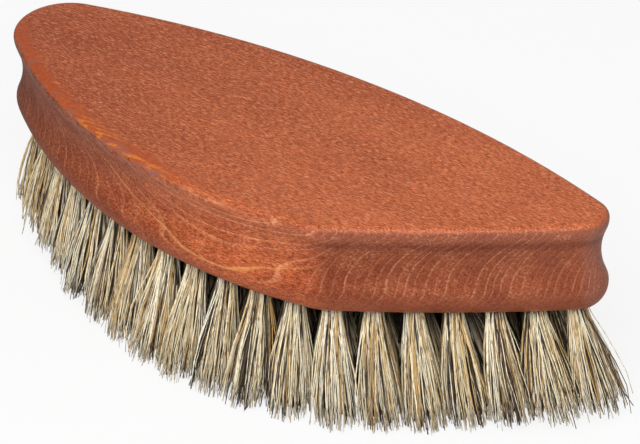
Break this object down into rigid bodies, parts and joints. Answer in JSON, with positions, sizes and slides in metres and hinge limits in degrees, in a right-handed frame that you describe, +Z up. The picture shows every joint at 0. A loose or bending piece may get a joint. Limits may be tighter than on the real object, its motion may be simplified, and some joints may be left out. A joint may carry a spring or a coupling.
{
  "type": "shoe shine brush",
  "caption": "Three-cornered wooden brush block with a finger groove round its edge, set with rows of folded horsehair tufts that fan outwards and end in one flat polishing face.",
  "frame": {"origin": "under the middle of the whole brush, on the plane of the trimmed hair ends", "axes": "+X along the block towards the narrow tip, +Y towards the long bowed side, +Z up out of the hand face"},
  "size_m": [0.1644, 0.065, 0.0521],
  "materials": {
    "wood": "stained beech, satin lacquer",
    "hair": "mixed natural horsehair, dry",
    "wire": "flat staple wire"
  },
  "bodies": {
    "root": {"wood_block": "wood", "outer_tuft_01": "hair", "outer_tuft_02": "hair", "outer_tuft_03": "hair", "outer_tuft_04": "hair", "outer_tuft_05": "hair", "outer_tuft_06": "hair", "outer_tuft_07": "hair", "outer_tuft_08": "hair", "outer_tuft_09": "hair", "outer_tuft_10": "hair", "outer_tuft_11": "hair", "outer_tuft_12": "hair", "outer_tuft_13": "hair", "outer_tuft_14": "hair", "outer_tuft_15": "hair", "outer_tuft_16": "hair", "outer_tuft_17": "hair", "outer_tuft_18": "hair", "outer_tuft_19": "hair", "outer_tuft_20": "hair", "outer_tuft_21": "hair", "outer_tuft_22": "hair", "outer_tuft_23": "hair", "outer_tuft_24": "hair", "outer_tuft_25": "hair", "outer_tuft_26": "hair", "outer_tuft_27": "hair", "outer_tuft_28": "hair", "outer_tuft_29": "hair", "outer_tuft_30": "hair", "outer_tuft_31": "hair", "outer_tuft_32": "hair", "outer_tuft_33": "hair", "outer_tuft_34": "hair", "outer_tuft_35": "hair", "second_row_tufts": "hair", "middle_rows_tufts": "hair", "outer_row_staples": "wire", "second_row_staples": "wire", "middle_rows_staples": "wire"}
  },
  "joints": []
}
